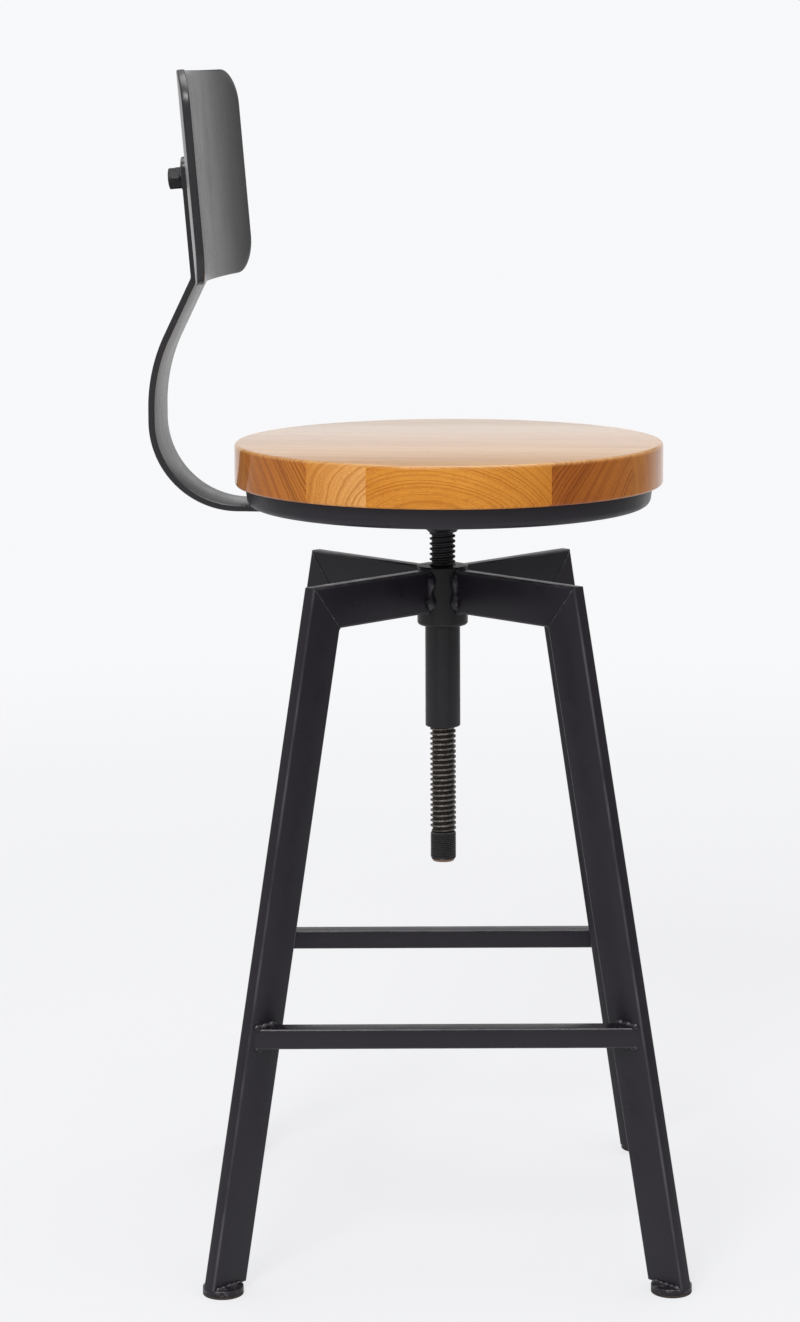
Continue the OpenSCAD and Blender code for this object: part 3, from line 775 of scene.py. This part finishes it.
FINE = 48
END_ROOT, END_MAJOR, END_TIP = 9.2, 9.9, 8.1
coarse_outline = [(0, SCREW_ROOT), (0.28, SCREW_ROOT), (0.36, SCREW_ROOT + 0.25), (0.56, SCREW_R - 0.12),
                  (0.62, SCREW_R), (0.76, SCREW_R), (0.82, SCREW_R - 0.12), (1.0, SCREW_ROOT)]
fine_outline = [(0, END_ROOT), (0.42, END_MAJOR), (0.58, END_MAJOR), (1.0, END_ROOT)]
coarse = shell(thread(THREAD_START, PAN_BOTTOM, PITCH, coarse_outline, SCREW_ROOT),
               end_disc(SCREW_ROOT, THREAD_START), end_disc(SCREW_ROOT, PAN_BOTTOM))
fine = chamfered_thread(SCREW_BOTTOM, THREAD_START, -1.8, END_PITCH, fine_outline, END_TIP)
piece("lifting_screw_thread", [coarse, fine], screw_finish, "seat", ["lifting_screw"],
      sharp=28)

boss_profile = np.vstack([
    [[BORE_R, BOSS_BOTTOM], [SCREW_R + 1, BOSS_BOTTOM]],
    [[BOSS_R - 3.2, BOSS_BOTTOM + 2.2]],
    arc((BOSS_R - 1.2, BOSS_BOTTOM + 3.6), 1.2, -60, 0, 4),
    arc((BOSS_R - 0.6, PAN_BOTTOM - 0.9), 0.6, 0, 90, 3),
    [[BORE_R, PAN_BOTTOM - 0.3]],
])
piece("screw_boss_ring", [ring_sheet(boss_profile)], black, "screw_boss", ["screw_boss"])


# Seat

pan_inner = PAN_EDGE_R - PAN_WALL
pan_profile = np.vstack([
    [[0, PAN_BOTTOM]],
    arc((PAN_R - PAN_EDGE_R - 1.2, PAN_BOTTOM + PAN_EDGE_R), PAN_EDGE_R, -90, -8, 10),
    arc((PAN_R - 0.8, SEAT_BOTTOM - 0.8), 0.8, -10, 90, 4),
    [[PAN_R - PAN_WALL, SEAT_BOTTOM]],
    arc((PAN_R - PAN_WALL - 1.2 - pan_inner, PAN_BOTTOM + PAN_EDGE_R), pan_inner, -8, -90, 8),
    [[0, PAN_BOTTOM + PAN_WALL]],
])
pan = revolve(pan_profile, 160) + np.array([SEAT_FORWARD, 0, 0])
piece("seat_pan_dish", [grid(in_seat(pan), wrap_columns=True)], black_pan, "seat", ["seat_pan"], sharp=40)

STEP_R = PAN_R - PAN_WALL - 0.3
BOARD_PROFILE = np.vstack([
    [[STEP_R - PAN_EDGE_R, PAN_BOTTOM + PAN_WALL], [STEP_R, PAN_BOTTOM + PAN_WALL + PAN_EDGE_R],
     [STEP_R, SEAT_BOTTOM]],
    arc((SEAT_R - SEAT_EDGE_R, SEAT_BOTTOM + SEAT_EDGE_R), SEAT_EDGE_R, -90, 0, 6),
    arc((SEAT_R - SEAT_EDGE_R, SEAT_TOP - SEAT_EDGE_R), SEAT_EDGE_R, 0, 90, 6),
])


def stave(low, high):
    """One stave of a round board: at each level its outline is a circle's two arcs between straight joints.

    A joint at a distance d meets a circle of radius r at the angle whose sine is d over r.
    """
    r, z = BOARD_PROFILE[:, 0][:, None], BOARD_PROFILE[:, 1][:, None]
    t = np.linspace(0, 1, 49)
    start = np.arcsin(np.clip(low / r, -1, 1))
    end = np.arcsin(np.clip(high / r, -1, 1))
    a = start + (end - start) * t
    front = np.stack([r * np.cos(a), r * np.sin(a), z + 0 * a], -1)
    back = front[:, ::-1] * np.array([-1, 1, 1])
    rings = np.concatenate([front, back], 1) + np.array([SEAT_FORWARD, 0, 0])
    return capped(in_seat(rings))


# The pith of each stave across the seat and up, the width of its rings and its tones
STAVE_RINGS = [((-248, 546), 1.6, GOLD), ((-17, 544), 3.6, RUSSET), ((-150, 580), 4.2, HONEY),
               ((60, 500), 2.4, GOLD), ((150, 560), 3.2, HONEY), ((30, 520), 2.6, GOLD)]
END_JOINT = -38.0
joints = np.r_[-2 * SEAT_R, FIRST_JOINT + np.arange(STAVES - 1) * STAVE_W, 2 * SEAT_R]
for k, (pith, spacing, tone) in enumerate(STAVE_RINGS):
    wood = stave_wood(k + 1, pith, spacing, tone, 0.37 * k, END_JOINT if k == 0 else None, amber_ends=k == 1)
    piece("seat_stave_%d_board" % (k + 1), [stave(joints[k], joints[k + 1])], wood, "seat",
          ["seat_stave_%d" % (k + 1)], sharp=40)

HEAD_R, SHANK_R = 5.0, 2.25
for corner, angle in CORNERS.items():
    profile = np.vstack([[[0, PAN_BOTTOM - 2.5]], arc((HEAD_R - 0.8, PAN_BOTTOM - 1.7), 0.8, -90, 0, 4),
                         [[HEAD_R, PAN_BOTTOM], [SHANK_R, PAN_BOTTOM], [SHANK_R, PAN_BOTTOM + 24],
                          [0, PAN_BOTTOM + 29]]])
    rings = turned(revolve(profile, 40) + np.array([SEAT_SCREW_CIRCLE, 0, 0]), angle)
    rings = in_seat(rings + np.array([SEAT_FORWARD, 0, 0]))
    piece("seat_screw_%s_head" % corner, [grid(rings, wrap_columns=True)], plated, "seat",
          ["seat_screw_" + corner])


# Back strip

low_bend = np.array([STRIP_REACH - LOW_R, STRIP_BOTTOM + LOW_R])
up_bend = np.array([STRIP_REACH - UP_R, low_bend[1] + STRIP_RISE])
neck_out = np.array([math.cos(UP_ANGLE), math.sin(UP_ANGLE)])
neck_dir = np.array([-math.sin(UP_ANGLE), math.cos(UP_ANGLE)])
neck_top = up_bend + UP_R * neck_out + NECK_L * neck_dir
kink = neck_top + KINK_R * neck_out
lean_out = np.array([math.cos(BACK_LEAN), -math.sin(BACK_LEAN)])
lean_dir = np.array([math.sin(BACK_LEAN), math.cos(BACK_LEAN)])
straight_top = kink - KINK_R * lean_out + STRIP_TOP_L * lean_dir


def strip_line(depth):
    """The bar's side line at a depth inside its outer face.

    It is straight under the pan, then a quarter circle up, a straight rise, a bend forward, a straight neck,
    a tight kink back and a straight end behind the plate. A bend's radius shrinks or grows by the depth.
    """
    up, lean = math.degrees(UP_ANGLE), math.degrees(BACK_LEAN)
    foot = kink - KINK_R * lean_out - depth * lean_out
    end = straight_top - depth * lean_out
    t = np.r_[0.3, 0.6, np.linspace(0.87, 1, 14)][:, None]
    return np.vstack([
        [[STRIP_INNER, STRIP_BOTTOM + depth], [(STRIP_INNER + low_bend[0]) / 2, STRIP_BOTTOM + depth]],
        arc(low_bend, LOW_R - depth, -90, 0, 40),
        arc(up_bend, UP_R - depth, 0, up, 20),
        arc(kink, KINK_R + depth, 180 + up, 180 - lean, 10),
        foot + (end - foot) * t,
    ])


def back_strip():
    """A flat bar with soft edges carried along its side line.

    Over the last STRIP_END_R its half width shrinks as a circle does: the straight part plus the root of the
    squared radius less the squared inset.
    """
    outer, inner = strip_line(0), strip_line(STRIP_T)
    section = rounded_rect(STRIP_W, STRIP_T, 0.9, 4)
    depth = (section[:, 1] / STRIP_T + 0.5)[None, :, None]
    middle = (outer + inner) / 2
    left = np.linalg.norm(middle - middle[-1], axis=1)
    inset = np.clip(STRIP_END_R - left, 0, STRIP_END_R)
    half = STRIP_W / 2 - STRIP_END_R + np.sqrt(STRIP_END_R ** 2 - inset ** 2)
    side = section[:, 0][None, :] * (half / (STRIP_W / 2))[:, None]
    plane = outer[:, None] + (inner - outer)[:, None] * depth
    points = np.stack([-plane[..., 0], side, plane[..., 1]], -1)
    return capped(in_seat(points))


piece("back_strip_bar", [back_strip()], black_plate, "seat", ["back_strip"], sharp=40)


def at_strip_top(points):
    """Points drawn at the front face of the bar's top end, X forward and Z up along it, put in their place.

    They are turned by the lean about Y: x cos - z sin and x sin + z cos.
    """
    x, y, z = points[..., 0] + STRIP_T, points[..., 1], points[..., 2]
    c, s = math.cos(BACK_LEAN), math.sin(BACK_LEAN)
    return in_seat(np.stack([c * x - s * z - straight_top[0], y, s * x + c * z + straight_top[1]], -1))


def backrest_plate():
    """A round wall cut to a rounded rectangle, with soft edges.

    The face is a grid of upright lines, each as long as the outline is high at its place. The rim's rings
    step outwards by a small circle's sine and into the depth by its radius less its cosine.
    """
    soft = BACK_SOFT
    w, h, r = BACK_W / 2 - soft, BACK_H / 2 - soft, BACK_CORNER - soft
    turn = np.linspace(0, math.pi / 2, 15)
    edge = w - r + r * np.cos(turn)
    y = np.r_[-edge, np.linspace(-(w - r), w - r, 41)[1:-1], edge[::-1]]
    z_half = h - r + np.sqrt(np.clip(r ** 2 - np.clip(np.abs(y) - (w - r), 0, r) ** 2, 0, None))
    t = np.linspace(-1, 1, 25)
    face = np.stack([y[:, None] + 0 * t, z_half[:, None] * t], -1)
    rim = np.vstack([face[0, :, :], face[1:, -1], face[-1, -2::-1], face[-2:0:-1, 0]])
    core = np.clip(rim, (-(w - r), -(h - r)), (w - r, h - r))
    out = rim - core
    out /= np.linalg.norm(out, axis=1)[:, None]

    def on_wall(flat, depth):
        """Flat points bent round the wall: its middle less the root of its squared radius less squared y."""
        wall = BACK_R + depth
        x = BACK_GAP + BACK_T + BACK_R - np.sqrt(wall ** 2 - flat[..., 0] ** 2)
        return np.stack([x, flat[..., 0], flat[..., 1] - BACK_BELOW_END], -1)

    half_turn = np.radians([0, 22.5, 45, 67.5, 90])
    steps = [(soft * math.sin(a), soft * (1 - math.cos(a))) for a in half_turn]
    steps += [(grow, BACK_T - depth) for grow, depth in reversed(steps)]
    rings = np.array([on_wall(rim + grow * out, depth) for grow, depth in steps])
    return [(at_strip_top(v), f) for v, f in (
        grid(on_wall(face, 0.0)), grid(on_wall(face, BACK_T)), grid(rings, wrap_columns=True))]


piece("backrest_plate_curved", backrest_plate(), black_plate, "seat", ["backrest_plate"], sharp=50)


def at_bolt(points, side):
    """Points drawn about Z, which runs out of the bar's back, at one of the two studs."""
    x, y, z = points[..., 0], points[..., 1], points[..., 2]
    moved = np.stack([-z - STRIP_T, y + side * BOLT_SPACING / 2, x - BOLT_BELOW_END], -1)
    return at_strip_top(moved)


def hex_nut():
    """A hexagon's radius by angle, held inside a cone at both faces, with a chamfered bore.

    The radius is half the flats' width over the cosine of the angle from the nearest flat's middle.
    """
    a = np.linspace(0, TAU, 96, endpoint=False)
    flat = NUT_FLATS / 2 / np.cos((a + math.pi / 6) % (math.pi / 3) - math.pi / 6)
    corner = NUT_FLATS / 2 / math.cos(math.pi / 6)
    # How far inside the corners the outline is held at each height, then the bore's radius at each height
    outside = ((1.5, 0.0), (0.7, 0.35), (0.0, 0.9), (0.0, NUT_H - 0.9), (0.7, NUT_H - 0.35), (1.5, NUT_H))
    bore = ((NUT_BORE + 0.85, NUT_H), (NUT_BORE, NUT_H - 0.8), (NUT_BORE, 0.8), (NUT_BORE + 0.85, 0.0))
    rows = [(np.minimum(flat, corner - inset), z) for inset, z in outside]
    rows += [(r + 0 * a, z) for r, z in bore]
    return np.array([np.stack([r * np.cos(a), r * np.sin(a), 0 * a + z + WASHER_T], -1) for r, z in rows])


STUD_ROOT, STUD_MAJOR, STUD_TIP, STUD_PITCH = 4.1, 4.95, 3.5, 1.5
STUD_END = WASHER_T + NUT_H + 0.3
stud_outline = [(0, STUD_ROOT), (0.42, STUD_MAJOR), (0.58, STUD_MAJOR), (1.0, STUD_ROOT)]
washer_profile = [[5.25, 0.2], [5.45, 0.0], [9.7, 0.0], [10.0, 0.3], [10.0, WASHER_T - 0.3], [9.7, WASHER_T],
                  [5.45, WASHER_T], [5.25, WASHER_T - 0.2]]
stud = chamfered_thread(-STRIP_T, STUD_END, 0.8, STUD_PITCH, stud_outline, STUD_TIP)
fastener_parts = (("nut", "hex", grid(hex_nut(), wrap_rows=True, wrap_columns=True), "black_coat"),
                  ("washer", "ring", ring_sheet(washer_profile, 64), "black_coat"),
                  ("stud", "thread", stud, "bare_steel"))
for place, side in (("left", 1), ("right", -1)):
    for name, form, (v, f), slot in fastener_parts:
        piece("backrest_%s_%s_%s" % (name, place, form), [(at_bolt(v, side), f)], dark_plated, "seat",
              ["backrest_%s_%s" % (name, place)])

# Beads under the pan along the bar's two sides and round its inner end
SEAT_DEGREES = math.degrees(SEAT_TURN)
strip_bead_z = PAN_BOTTOM - 0.4
along_bar = -np.linspace(STRIP_INNER + 4, PAN_R - 15, 12)
across_bar = np.linspace(-STRIP_W / 2, STRIP_W / 2, 10)
strip_beads = [laid(SEAT_DEGREES, along_bar, side * (STRIP_W / 2 + 0.2), strip_bead_z, 1.8, 24, 0.25,
                    120 + side) for side in (-1, 1)]
strip_beads.append(laid(SEAT_DEGREES, -STRIP_INNER + 0.2, across_bar, strip_bead_z, 1.8, 12, 0.25, 125))
piece("back_strip_weld_beads", strip_beads, black_weld, "seat", sharp=60)


# Floor, light and camera

WHITE = (1, 1, 1, 1)
ROOM_WHITE = (0.938, 0.943, 0.955, 1)
PAPER_GLOW = (0.920, 0.922, 0.937, 1)
PAPER_DIM = (0.62, 0.62, 0.64, 1)
FLOOR_HALF = 3.0
FADE_FROM, FADE_TO = 0.9, 2.6


def floor_paper():
    """Pale studio floor that fades into the white of the room far from the stool; dim in reflections."""
    n = Nodes("floor_paper")
    tree = n.tree
    tone = n.ramp(n.noise(2.0, 2), [(0.3, (0.865, 0.867, 0.878)), (0.7, (0.885, 0.887, 0.897))])
    n.finish(colour=tone, rough=0.95, specular=0.0)
    path = tree.nodes.new("ShaderNodeLightPath")
    dim = tree.nodes.new("ShaderNodeBsdfDiffuse")
    dim.inputs["Color"].default_value = PAPER_DIM
    glow = tree.nodes.new("ShaderNodeEmission")
    glow.inputs["Color"].default_value = PAPER_GLOW
    clear = tree.nodes.new("ShaderNodeBsdfTransparent")
    paper = n.shader.outputs[0]
    softened = mixed_shaders(tree, 0.72, paper, glow.outputs[0])
    seen = mixed_shaders(tree, path.outputs["Is Camera Ray"], paper, softened)
    mirrored = mixed_shaders(tree, path.outputs["Is Glossy Ray"], seen, dim.outputs[0])
    far = ranged(tree, n.vector_math("LENGTH", n.where), FADE_FROM, FADE_TO, 0.0, 1.0, smooth=True)
    faded = mixed_shaders(tree, far, mirrored, clear.outputs[0])
    n.link(faded, tree.nodes["Material Output"].inputs["Surface"])
    return n.material


mesh = bpy.data.meshes.new("studio_floor")
mesh.from_pydata([(-FLOOR_HALF, -FLOOR_HALF, 0), (FLOOR_HALF, -FLOOR_HALF, 0), (FLOOR_HALF, FLOOR_HALF, 0),
                  (-FLOOR_HALF, FLOOR_HALF, 0)], [], [(0, 1, 2, 3)])
mesh.materials.append(floor_paper())
floor = bpy.data.objects.new("studio_floor", mesh)
bpy.context.scene.collection.objects.link(floor)


def studio_world():
    """A white room for the eye and even soft light.

    In reflections it is white low behind the stool and brightest overhead, and the left side is brighter than
    the right. Each part is a smooth step of the direction's X, Y or Z, and the brightest part is taken.
    """
    world = bpy.data.worlds.new("studio")
    bpy.context.scene.world = world
    world.use_nodes = True
    tree = world.node_tree
    tree.nodes.clear()

    def background(colour, strength):
        """An even light of one colour."""
        node = tree.nodes.new("ShaderNodeBackground")
        node.inputs["Color"].default_value = colour
        put(tree, node.inputs["Strength"], strength)
        return node.outputs[0]

    def joined(operation, a, b):
        """One operation on two numbers."""
        node = tree.nodes.new("ShaderNodeMath")
        node.operation = operation
        tree.links.new(a, node.inputs[0])
        tree.links.new(b, node.inputs[1])
        return node.outputs[0]

    where = tree.nodes.new("ShaderNodeTexCoord")
    split = tree.nodes.new("ShaderNodeSeparateXYZ")
    tree.links.new(where.outputs["Generated"], split.inputs[0])
    x, y, z = split.outputs
    # Each step: where it starts and stops along the direction's part, and its brightness there
    side = ranged(tree, x, -1.0, 1.0, 0.37, 0.22, smooth=True)
    behind = ranged(tree, y, 0.42, 0.90, 0.0, 0.90, smooth=True)
    behind = joined("MULTIPLY", behind, ranged(tree, z, 0.15, 0.30, 1.0, 0.30, smooth=True))
    above = ranged(tree, z, 0.20, 0.70, 0.0, 0.9, smooth=True)
    overhead = ranged(tree, z, 0.80, 0.97, 0.0, 4.0, smooth=True)
    brightest = joined("MAXIMUM", joined("MAXIMUM", side, behind), joined("ADD", above, overhead))
    path = tree.nodes.new("ShaderNodeLightPath")
    unseen = mixed_shaders(tree, path.outputs["Is Glossy Ray"], background(WHITE, 0.70),
                           background(WHITE, brightest))
    room = mixed_shaders(tree, path.outputs["Is Camera Ray"], unseen, background(ROOM_WHITE, 1.0))
    out = tree.nodes.new("ShaderNodeOutputWorld")
    tree.links.new(room, out.inputs["Surface"])


def soft_box(name, place, aim, size, power):
    """A rectangle of light, in metres and watts, turned so that its face looks from its place to its aim."""
    lamp = bpy.data.lights.new(name, "AREA")
    lamp.shape = "RECTANGLE"
    lamp.size, lamp.size_y = size
    lamp.energy = power
    thing = bpy.data.objects.new(name, lamp)
    bpy.context.scene.collection.objects.link(thing)
    thing.location = place
    x, y, z = (b - a for a, b in zip(place, aim))
    thing.rotation_euler = (math.atan2(math.hypot(x, y), -z), 0, math.atan2(y, x) - math.pi / 2)


studio_world()
soft_box("key_box", place=(-0.9, -2.4, 2.4), aim=(0, 0, 0.55), size=(1.0, 0.8), power=36)
soft_box("top_box", place=(0.2, 0.3, 3.0), aim=(0, 0, 0.5), size=(2.4, 2.4), power=14)

# The photograph's camera, in metres, radians, shares of the frame's height and the photograph's own rows
FRAME_ROWS = 1322
FOCAL_ROWS = 3334.1
SENSOR_MM = 36.0
CAMERA_PLACE = (-0.03112, -2.5388, 0.89316)
CAMERA_DOWN = 0.0974
CAMERA_ROLL = 0.0041
CAMERA_SHIFT = -0.2
SEEN_TO = 60
camera_data = bpy.data.cameras.new("camera")
camera_data.sensor_fit = "VERTICAL"
camera_data.sensor_height = SENSOR_MM
camera_data.lens = FOCAL_ROWS / FRAME_ROWS * SENSOR_MM
camera_data.shift_y = CAMERA_SHIFT
camera_data.clip_end = SEEN_TO
camera = bpy.data.objects.new("camera", camera_data)
camera.location = CAMERA_PLACE
camera.rotation_euler = (math.pi / 2 - CAMERA_DOWN, CAMERA_ROLL, 0)
bpy.context.scene.collection.objects.link(camera)
bpy.context.scene.camera = camera
bpy.context.scene.view_settings.view_transform = "Standard"
